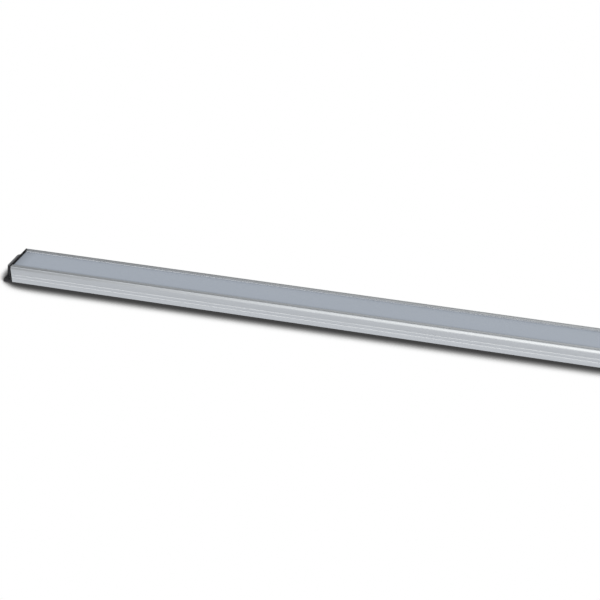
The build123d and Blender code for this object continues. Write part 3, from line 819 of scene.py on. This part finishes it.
def make_cap(end):
    side = ENDS[end]
    caps, section = bpy.context.scene.washer_caps, bpy.context.scene.washer_housing
    ground = side * HOUSING_HIGH.x
    gasket = GASKET_HIGH.x - GASKET_LOW.x
    inner = ground + side * gasket
    piece = make_nose(f"end_cap_{end}_moulding", side)
    # the flange, the pads for the cap's screws and the foot tab
    flange = trace("flange", [(inner, y, z) for y, z in plain_section(section)])
    combine(piece, pull(flange, (side * caps.flange, 0, 0)), "UNION")
    seat = ground + side * caps.screw_seat
    for y in (-section.port_centre, section.port_centre):
        pad = round_bar("pad", inner, seat, (y, section.port_height), caps.screw_pad, PAD_STEPS)
        combine(piece, pad, "UNION")
    reach = CAP_HIGH.x - CAP_LOW.x + gasket
    # a hair narrower than the flange, so that the two sides never share a plane
    wide = HOUSING_HIGH.y - HAIR
    corner = caps.foot_corner
    turn_low = arc((reach - corner, corner - wide), corner, -90, 0, 8)
    turn_high = arc((reach - corner, wide - corner), corner, 0, 90, 8)
    tab = [(gasket, -wide)] + turn_low + turn_high + [(gasket, wide)]
    foot = pull(trace("foot", [(ground + side * u, y, 0) for u, y in tab]), (0, 0, caps.foot_thickness))
    combine(piece, foot, "UNION")
    if end == "right":
        add_gland_boss(piece, ground)
    # the block's root behind the flange is cut off, and a pocket is cut behind the nose
    top = caps.nose_height
    root = plain_block("root", (ground - side * MM, -2 * wide, -MM), (inner, 2 * wide, 2 * top))
    combine(piece, root, "DIFFERENCE")
    hollow = plain_block(
        "hollow",
        (inner - side * MM, -caps.pocket_width / 2, caps.window_bottom),
        (inner + side * caps.pocket_depth, caps.pocket_width / 2, caps.window_top),
    )
    combine(piece, hollow, "DIFFERENCE")
    # a countersunk hole for each cap screw
    height = section.port_height
    for y in (-section.port_centre, section.port_centre):
        head = height + caps.screw_head + SCREW_PLAY
        outside = seat + side * SCREW_WAY
        sink = trace("sink", [
            (inner - side * MM, y, height),
            (inner - side * MM, y, height + SCREW_HOLE),
            (seat - side * SCREW_SINK, y, height + SCREW_HOLE),
            (seat, y, head),
            (outside, y, head),
            (outside, y, height),
        ])
        combine(piece, turn(sink, (0, y, height)), "DIFFERENCE")
    # the foot holes, and room for their screws' heads over the tab
    for y in (-caps.hole_spacing / 2, caps.hole_spacing / 2):
        centre = (ground + side * caps.hole_reach, y)
        foot = caps.foot_thickness
        hole = round_bar("hole", -MM, foot + MM, centre, caps.hole_radius, upright=True)
        combine(piece, hole, "DIFFERENCE")
        room = round_bar("room", foot + HAIR, top + MM, centre, caps.head_room, upright=True)
        combine(piece, room, "DIFFERENCE")
    round_edges(piece, caps.edge_radius)
    return put_on(piece, "cap_plastic", f"end_cap_{end}")


def add_gland_boss(piece, ground):
    """The flat boss and its web on the right cap, with the ring's recess and the gland's hole."""
    gland, caps = bpy.context.scene.washer_gland, bpy.context.scene.washer_caps
    start = ground + GASKET_HIGH.x - GASKET_LOW.x + caps.pocket_depth
    seat = ground + gland.seat
    centre = (0, gland.height)
    half = gland.boss_radius / 2
    boss = round_bar("boss", start, seat, centre, gland.boss_radius, BOSS_STEPS)
    web = plain_block("web", (start, -half, caps.foot_thickness / 2), (seat, half, gland.height))
    combine(boss, web, "UNION")
    combine(piece, boss, "UNION")
    deep = seat - gland.recess_depth
    recess = round_bar("recess", deep, seat + MM, centre, gland.recess_radius, BOSS_STEPS)
    combine(piece, recess, "DIFFERENCE")
    radius = gland.thread_radius + THREAD_PLAY
    hole = round_bar("hole", ground, seat + MM, centre, radius, PAD_STEPS)
    combine(piece, hole, "DIFFERENCE")


def hexagon_bar(name, start, end, height, flats):
    """A hexagonal solid along X with two corners upright, one at its top and one at its bottom."""
    piece = round_bar(name, start, end, (0, height), flats / math.sqrt(3), 6)
    # its corners lie level at first, so it is turned by half a step
    bpy.ops.object.mode_set(mode="EDIT")
    bpy.ops.mesh.select_all(action="SELECT")
    bpy.ops.transform.rotate(
        value=math.pi / 6,
        orient_axis="X",
        orient_type="GLOBAL",
        center_override=((start + end) / 2, 0, height),
    )
    bpy.ops.object.mode_set(mode="OBJECT")
    return piece


def make_gland_body():
    gland = bpy.context.scene.washer_gland
    seat = HOUSING_HIGH.x + gland.seat
    hex_end = seat + gland.hex_thickness
    h = gland.height
    centre = (0, 0, h)
    hexagon = hexagon_bar("gland_body_fitting", seat, hex_end, h, gland.flats)
    # a cone takes off the hexagon's outer corners
    corners = h + gland.flats / math.sqrt(3)
    cone_end = hex_end + INSET / 2
    cone = trace("cone", [
        (seat - MM, 0, h),
        (seat - MM, 0, corners + MM),
        (hex_end - gland.corner_slope, 0, corners + CORNER_SPARE),
        (cone_end, 0, h + gland.flats / 2 - CONE_DEPTH),
        (cone_end, 0, h),
    ])
    combine(hexagon, turn(cone, centre, NUT_STEPS), "INTERSECT")
    # the thread through the cap, the neck and the way through, as one turned piece
    neck_end = BODY_HIGH.x
    seal_seat = neck_end - gland.seal_length
    bore, thread = h + gland.bore_radius, h + gland.thread_radius
    crest = h + gland.neck_radius
    groove = crest - gland.neck_cut
    slope = gland.thread_slope
    outline = [(BODY_LOW.x, bore), (BODY_LOW.x, thread - slope), (BODY_LOW.x + slope, thread)]
    outline += [(seat + INSET, thread), (seat + INSET, groove)]
    x = hex_end - INSET
    outline += [(x, groove)]
    while x + gland.neck_pitch < neck_end - slope:
        outline += [(x + gland.neck_pitch / 2, crest), (x + gland.neck_pitch, groove)]
        x += gland.neck_pitch
    outline += [(neck_end - INSET, groove), (neck_end, groove - gland.neck_cut)]
    outline += [(neck_end, h + gland.seal_radius), (seal_seat, h + gland.seal_radius), (seal_seat, bore)]
    core = turn(trace("core", [(u, 0, z) for u, z in outline]), centre, BOSS_STEPS)
    # the hexagon is drilled wider than the way through, and the core fills the gap
    wide = gland.bore_radius + 0.3 * MM
    drill = round_bar("drill", seat - 2 * MM, seat + 6 * MM, (0, h), wide, PAD_STEPS)
    combine(hexagon, drill, "DIFFERENCE")
    combine(hexagon, core, "UNION")
    round_edges(hexagon, gland.body_edge, segments=1, angle=40)
    return put_on(hexagon, "nickel_plate", "gland_body")


def make_gland_nut():
    gland = bpy.context.scene.washer_gland
    h = gland.height
    start, end = NUT_LOW.x, NUT_HIGH.x
    shoulder = start + gland.nut_hex
    flat, bore = h + gland.flats / 2, h + gland.bore_radius
    neck, mouth = h + gland.neck_radius, h + gland.nut_nose
    # the turned shape stands out past the hexagon's corners, and a hexagonal slab trims it to its flats
    corners = h + gland.flats / math.sqrt(3) + CORNER_SPARE
    slope = gland.end_slope
    outline = [(start, neck), (start, flat - slope), (start + gland.corner_slope, corners)]
    outline += [(shoulder - gland.shoulder_slope, corners), (shoulder + INSET, flat - INSET / 2)]
    # the nose narrows in a soft curve, from 62 to 14 degrees, to a rounded mouth
    curve = arc((end - gland.nose_curve, mouth - gland.nose_drop), gland.nose_curve, 62, 14, 8)
    outline += [point for point in curve if point[1] < flat]
    outline += [(end, mouth - gland.nose_round), (end, bore + slope), (end - slope, bore)]
    outline += [(BODY_HIGH.x, bore), (BODY_HIGH.x, neck)]
    piece = turn(trace("gland_nut_fitting", [(u, 0, z) for u, z in outline]), (0, 0, h), NUT_STEPS)
    slab = hexagon_bar("slab", start - MM, end + MM, h, gland.flats)
    combine(piece, slab, "INTERSECT")
    round_edges(piece, gland.nut_edge, angle=40)
    return put_on(piece, "nickel_plate", "gland_nut")


# nodes of the frame that show as they are, by their slot
CARRIED = {
    "silicone_seal": ("diffuser_seal_front", "diffuser_seal_rear"),
    "screw_steel": ("end_cap_screws_left", "end_cap_screws_right"),
    "board_white": ("led_board_left", "led_board_right"),
    "thermal_pad": ("thermal_pad_left", "thermal_pad_right"),
    "led_ceramic": ("led_packages_left", "led_packages_right"),
    "led_phosphor": ("led_domes_left", "led_domes_right"),
    "chip_black": ("current_regulators", "sense_resistors", "surge_suppressor", "polarity_diode"),
    "capacitor_ceramic": ("input_capacitors",),
    "terminal_plastic": ("terminal_block",),
    "contact_brass": ("terminal_contacts",),
    "link_wire": ("board_links",),
    "nickel_plate": ("gland_locknut",),
    "gasket_rubber": ("gland_seal", "gland_o_ring"),
}


def dress_carried_nodes():
    for slot, names in CARRIED.items():
        for name in names:
            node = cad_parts[name]
            node.data.materials.clear()
            node.data.materials.append(finish_for(slot))


# ---- stage ----

def blank(owner):
    """The emptied node tree of a new material or world."""
    nodes = Nodes(owner)
    nodes.tree.nodes.clear()
    return nodes


def show_only_to(piece, kept):
    """Leaves a stage object visible to the camera alone, or in gloss alone."""
    piece.visible_camera = kept == "camera"
    piece.visible_glossy = kept == "glossy"
    piece.visible_diffuse = False
    piece.visible_transmission = False
    piece.visible_shadow = False


def floor_material(reach):
    """White floor with a soft contact shadow, which is see-through from below."""
    material = bpy.data.materials.new("studio_floor")
    nodes = blank(material)
    shade = nodes.add("ShaderNodeAmbientOcclusion", samples=SHADOW_SAMPLES)
    shade.inputs["Distance"].default_value = reach
    narrowing = nodes.spread(nodes.axes(), "X", 0.0, SHADOW_NARROWING, *SHADOW_SPAN)
    sky = nodes.join(narrowing, "Result", nodes.spread(shade, "AO", 0.0, 1.0), "To Min")
    ramp = nodes.join(sky, "Result", nodes.add("ShaderNodeValToRGB"), "Fac")
    steps = ramp.color_ramp.elements
    for place, level in SHADOW_STEPS:
        steps.new(place).color = (level, level, level, 1)
    steps[0].color = (SHADOW_DARKEST, SHADOW_DARKEST, SHADOW_DARKEST, 1)
    steps[-1].position = SHADOW_END
    steps[-1].color = (1, 1, 1, 1)
    glow = nodes.join(ramp, "Color", nodes.add("ShaderNodeEmission"), "Color")
    facing = nodes.add("ShaderNodeNewGeometry")
    mix = nodes.join(facing, "Backfacing", nodes.add("ShaderNodeMixShader"), "Fac")
    nodes.join(glow, 0, mix, 1)
    nodes.join(nodes.add("ShaderNodeBsdfTransparent"), 0, mix, 2)
    nodes.join(mix, 0, nodes.add("ShaderNodeOutputMaterial"), "Surface")
    return material


def studio_world(strength):
    """White to the camera, in gloss and through glass; the light it sheds has its own strength."""
    world = bpy.data.worlds.new("studio")
    bpy.context.scene.world = world
    nodes = blank(world)
    path = nodes.add("ShaderNodeLightPath")
    seen = nodes.reckon("MAXIMUM", (path, "Is Camera Ray"), (path, "Is Glossy Ray"))
    shown = nodes.reckon("MAXIMUM", (seen, "Value"), (path, "Is Transmission Ray"))
    mix = nodes.join(shown, "Value", nodes.add("ShaderNodeMixShader"), "Fac")
    for index, level in ((1, strength), (2, 1.0)):
        back = nodes.add("ShaderNodeBackground")
        back.inputs["Color"].default_value = (1, 1, 1, 1)
        back.inputs["Strength"].default_value = level
        nodes.join(back, 0, mix, index)
    nodes.join(mix, 0, nodes.add("ShaderNodeOutputWorld"), "Surface")


def make_screen(name, low, high, stops):
    """An upright studio screen that only shows in gloss, with its colour at each stop along X."""
    low, high = Vector(low), Vector(high)
    clear_selection()
    bpy.ops.mesh.primitive_plane_add(size=1, location=(low + high) / 2, rotation=(math.pi / 2, 0, 0))
    screen = bpy.context.object
    screen.name = name
    screen.scale = (high.x - low.x, high.z - low.z, 1)
    settle(screen)
    material = bpy.data.materials.new(name)
    nodes = blank(material)
    axes = nodes.axes()
    total = None
    for (start, dim), (end, lit) in zip(stops, stops[1:]):
        # inputs 6 to 10 are the vector, its range, and the range it is carried to
        step = nodes.join(axes, "X", nodes.add("ShaderNodeMapRange", data_type="FLOAT_VECTOR"), 6)
        step.inputs[7].default_value = (start,) * 3
        step.inputs[8].default_value = (end,) * 3
        if total is None:
            step.inputs[9].default_value = dim
            step.inputs[10].default_value = lit
            total, output = step, 1
        else:
            step.inputs[9].default_value = (0, 0, 0)
            step.inputs[10].default_value = Vector(lit) - Vector(dim)
            both = nodes.join(total, output, nodes.add("ShaderNodeVectorMath", operation="ADD"), 0)
            total, output = nodes.join(step, 1, both, 1), 0
    glow = nodes.join(total, output, nodes.add("ShaderNodeEmission"), "Color")
    nodes.join(glow, 0, nodes.add("ShaderNodeOutputMaterial"), "Surface")
    screen.data.materials.append(material)
    show_only_to(screen, "glossy")


def make_stage():
    settings = bpy.context.scene.washer_stage
    clear_selection()
    bpy.ops.mesh.primitive_plane_add(size=settings.floor_size, location=(0, 0, -settings.floor_gap))
    floor = settle(bpy.context.object)
    floor.name = "studio_floor"
    floor.data.materials.append(floor_material(settings.shadow_reach))
    show_only_to(floor, "camera")
    studio_world(settings.light)
    for name, (low, high, stops) in SCREENS.items():
        make_screen(name, low, high, stops)
    clear_selection()
    bpy.ops.object.light_add(type="AREA", location=KEY_PLACE)
    key = bpy.context.object
    key.name = "key_lamp"
    key.data.shape = "RECTANGLE"
    key.data.size, key.data.size_y = KEY_SIZE
    key.data.energy = settings.key_power
    key.rotation_euler = (Vector(KEY_AIM) - Vector(KEY_PLACE)).to_track_quat("-Z", "Y").to_euler()
    bpy.ops.object.camera_add(location=CAMERA_PLACE, rotation=[math.radians(turn) for turn in CAMERA_TURN])
    camera = bpy.context.object
    camera.data.sensor_width = CAMERA_SENSOR
    camera.data.lens = settings.lens
    camera.data.clip_start, camera.data.clip_end = CAMERA_CLIP
    bpy.context.scene.camera = camera
    bpy.context.scene.view_settings.view_transform = "Standard"


# ---- operators ----

class WASHER_OT_housing(bpy.types.Operator):
    """Build the aluminium extrusion"""

    bl_idname = "washer.housing"
    bl_label = "Housing"

    def execute(self, context):
        make_housing()
        return {"FINISHED"}


class WASHER_OT_diffuser(bpy.types.Operator):
    """Build the frosted diffuser"""

    bl_idname = "washer.diffuser"
    bl_label = "Diffuser"

    def execute(self, context):
        make_diffuser()
        return {"FINISHED"}


class WASHER_OT_gaskets(bpy.types.Operator):
    """Build the gaskets behind both end caps"""

    bl_idname = "washer.gaskets"
    bl_label = "End gaskets"

    def execute(self, context):
        for end in ENDS:
            make_gasket(end)
        return {"FINISHED"}


class WASHER_OT_caps(bpy.types.Operator):
    """Build both end caps with their foot tabs"""

    bl_idname = "washer.caps"
    bl_label = "End caps"

    def execute(self, context):
        for end in ENDS:
            make_cap(end)
        return {"FINISHED"}


class WASHER_OT_gland(bpy.types.Operator):
    """Build the cable gland's body and nut"""

    bl_idname = "washer.gland"
    bl_label = "Cable gland"

    def execute(self, context):
        make_gland_body()
        make_gland_nut()
        return {"FINISHED"}


class WASHER_OT_inner_parts(bpy.types.Operator):
    """Give the boards, LEDs, seals and fasteners their finishes"""

    bl_idname = "washer.inner_parts"
    bl_label = "Boards, seals and fasteners"

    def execute(self, context):
        dress_carried_nodes()
        return {"FINISHED"}


class WASHER_OT_stage(bpy.types.Operator):
    """Set up the floor, the screens, the lamp and the camera"""

    bl_idname = "washer.stage"
    bl_label = "Stage"

    def execute(self, context):
        make_stage()
        return {"FINISHED"}


class WASHER_PT_panel(bpy.types.Panel):
    """Lists the light's pieces and what can be changed"""

    bl_idname = "WASHER_PT_panel"
    bl_label = "Wall washer"
    bl_space_type = "VIEW_3D"
    bl_region_type = "UI"
    bl_category = "Wall washer"

    def draw(self, context):
        layout = self.layout
        for operator in OPERATORS:
            layout.operator(operator.bl_idname)
        for group in GROUPS:
            box = layout.box()
            box.label(text=GROUPS[group].__doc__)
            settings = getattr(context.scene, group)
            for key in GROUPS[group].__annotations__:
                box.prop(settings, key)


OPERATORS = (
    WASHER_OT_housing,
    WASHER_OT_diffuser,
    WASHER_OT_gaskets,
    WASHER_OT_caps,
    WASHER_OT_gland,
    WASHER_OT_inner_parts,
    WASHER_OT_stage,
)
GROUPS = {
    "washer_housing": WasherHousingSizes,
    "washer_caps": WasherCapSizes,
    "washer_gland": WasherGlandSizes,
    "washer_finishes": WasherFinishes,
    "washer_stage": WasherStageSettings,
}


def register():
    for name, group in GROUPS.items():
        bpy.utils.register_class(group)
        setattr(bpy.types.Scene, name, bpy.props.PointerProperty(type=group))
    for operator in OPERATORS:
        bpy.utils.register_class(operator)
    bpy.utils.register_class(WASHER_PT_panel)


def unregister():
    bpy.utils.unregister_class(WASHER_PT_panel)
    for operator in reversed(OPERATORS):
        bpy.utils.unregister_class(operator)
    for name, group in reversed(GROUPS.items()):
        delattr(bpy.types.Scene, name)
        bpy.utils.unregister_class(group)


def main():
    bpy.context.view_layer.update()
    register()
    bpy.ops.washer.housing()
    bpy.ops.washer.diffuser()
    bpy.ops.washer.gaskets()
    bpy.ops.washer.caps()
    bpy.ops.washer.gland()
    bpy.ops.washer.inner_parts()
    bpy.ops.washer.stage()


if __name__ == "__main__":
    main()
